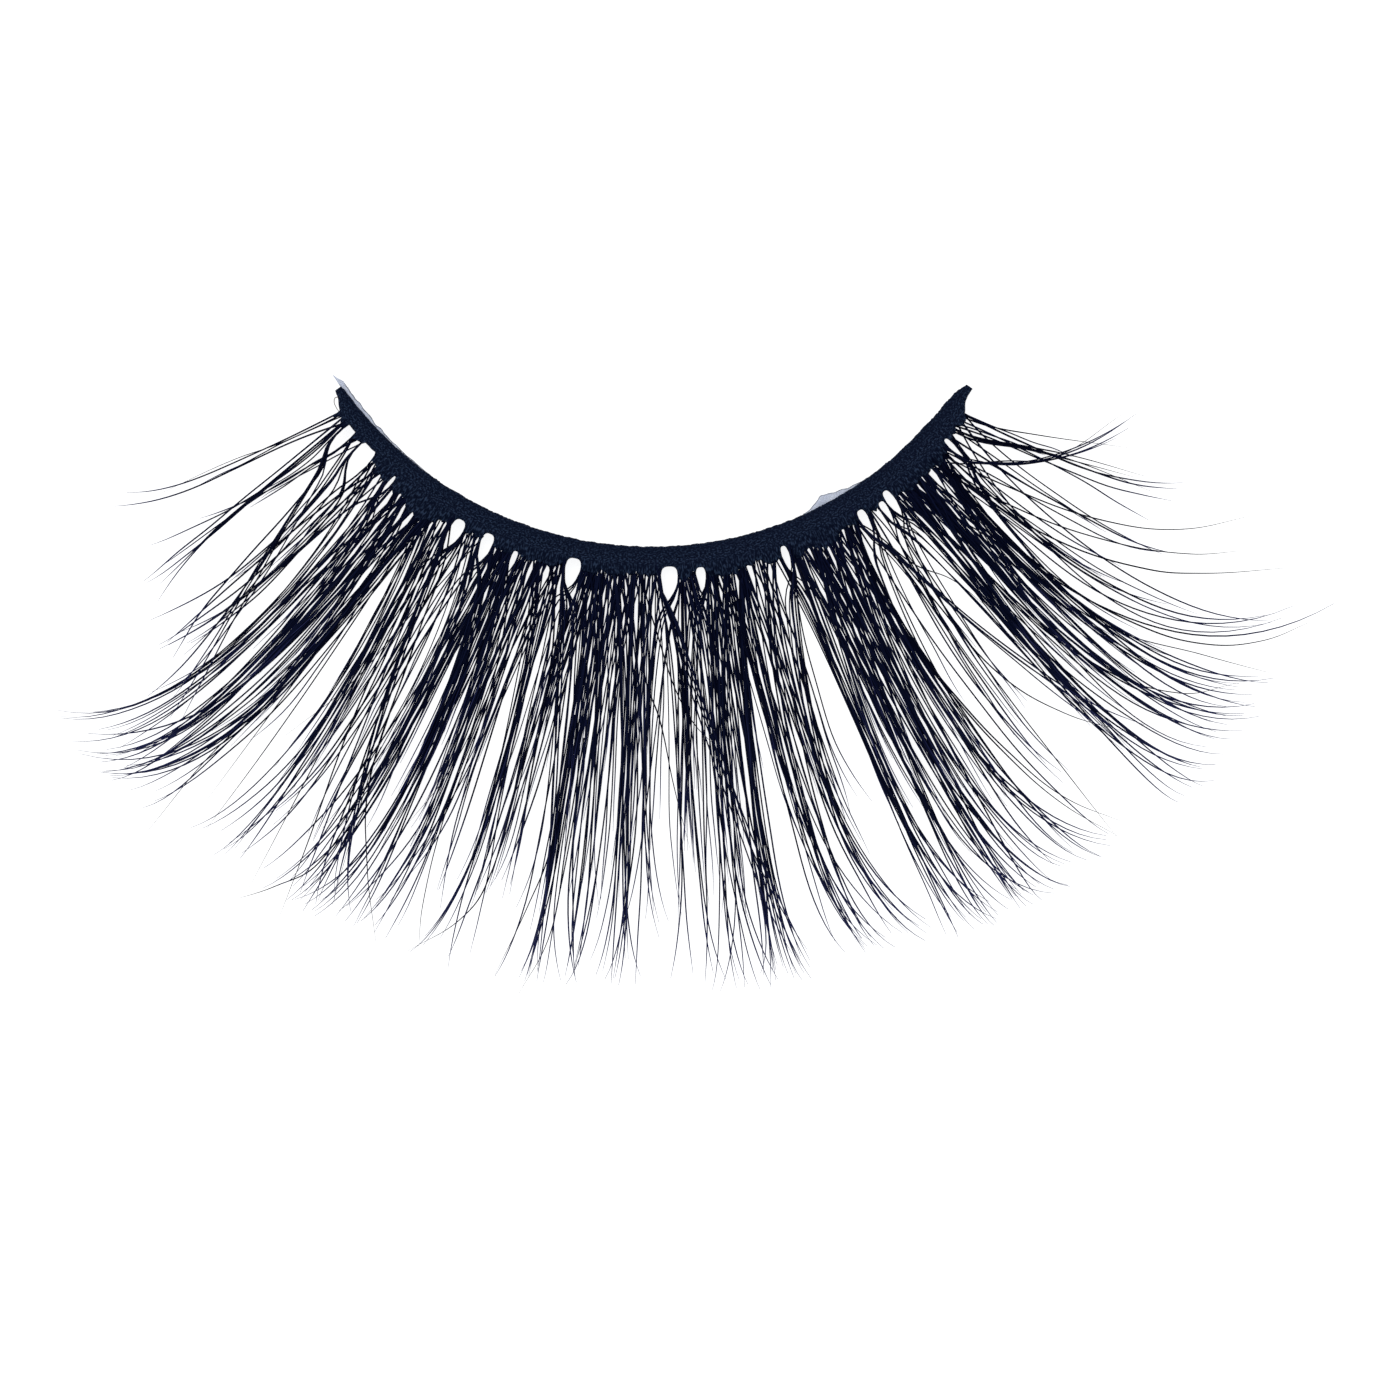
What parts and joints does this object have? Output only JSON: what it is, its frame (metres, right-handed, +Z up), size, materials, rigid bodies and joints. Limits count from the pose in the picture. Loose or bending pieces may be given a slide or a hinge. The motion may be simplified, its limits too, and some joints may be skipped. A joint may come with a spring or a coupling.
{
  "type": "false eyelash strip",
  "caption": "False eyelash strip: a short curved black band with clusters of long fine black lashes that fan out and curl up, and traces of clear glue on the band.",
  "frame": {"origin": "on the band's underside, in the middle of the band's length and width", "axes": "+Y towards the eyelid side, the lashes run out towards -Y, +X the outer corner with the longest lashes, +Z up from the surface that the strip lies on, the way the tips curl"},
  "size_m": [0.0575, 0.0283, 0.0066],
  "materials": {
    "black_band": "cotton thread stiffened with black glue, matt with small glossy grains",
    "black_lash_fibre": "fine tapered black fibre with a soft sheen",
    "clear_glue": "clear dried glue, glossy"
  },
  "bodies": {
    "root": {"band": "black_band", "lash_cluster_01": "black_lash_fibre", "lash_cluster_02": "black_lash_fibre", "lash_cluster_03": "black_lash_fibre", "lash_cluster_04": "black_lash_fibre", "lash_cluster_05": "black_lash_fibre", "lash_cluster_06": "black_lash_fibre", "lash_cluster_07": "black_lash_fibre", "lash_cluster_08": "black_lash_fibre", "lash_cluster_09": "black_lash_fibre", "lash_cluster_10": "black_lash_fibre", "lash_cluster_11": "black_lash_fibre", "lash_cluster_12": "black_lash_fibre", "lash_cluster_13": "black_lash_fibre", "lash_cluster_14": "black_lash_fibre", "lash_cluster_15": "black_lash_fibre", "lash_cluster_16": "black_lash_fibre", "lash_cluster_17": "black_lash_fibre", "lash_cluster_18": "black_lash_fibre", "lash_cluster_19": "black_lash_fibre", "lash_cluster_20": "black_lash_fibre", "lash_cluster_21": "black_lash_fibre", "lash_cluster_22": "black_lash_fibre", "lash_cluster_23": "black_lash_fibre", "lash_cluster_24": "black_lash_fibre", "lash_cluster_25": "black_lash_fibre", "lash_cluster_26": "black_lash_fibre", "lash_cluster_27": "black_lash_fibre", "lash_cluster_28": "black_lash_fibre", "lash_cluster_29": "black_lash_fibre", "lash_cluster_30": "black_lash_fibre", "lash_cluster_31": "black_lash_fibre", "lash_cluster_32": "black_lash_fibre", "lash_cluster_33": "black_lash_fibre", "lash_cluster_34": "black_lash_fibre", "lash_cluster_35": "black_lash_fibre", "lash_cluster_36": "black_lash_fibre", "lash_cluster_37": "black_lash_fibre", "lash_cluster_38": "black_lash_fibre", "lash_cluster_39": "black_lash_fibre", "lash_cluster_40": "black_lash_fibre", "lash_cluster_41": "black_lash_fibre", "lash_cluster_42": "black_lash_fibre", "lash_cluster_43": "black_lash_fibre", "lash_cluster_44": "black_lash_fibre", "lash_cluster_45": "black_lash_fibre", "glue_film_left": "clear_glue", "glue_film_right": "clear_glue", "glue_drop": "clear_glue"}
  },
  "joints": []
}
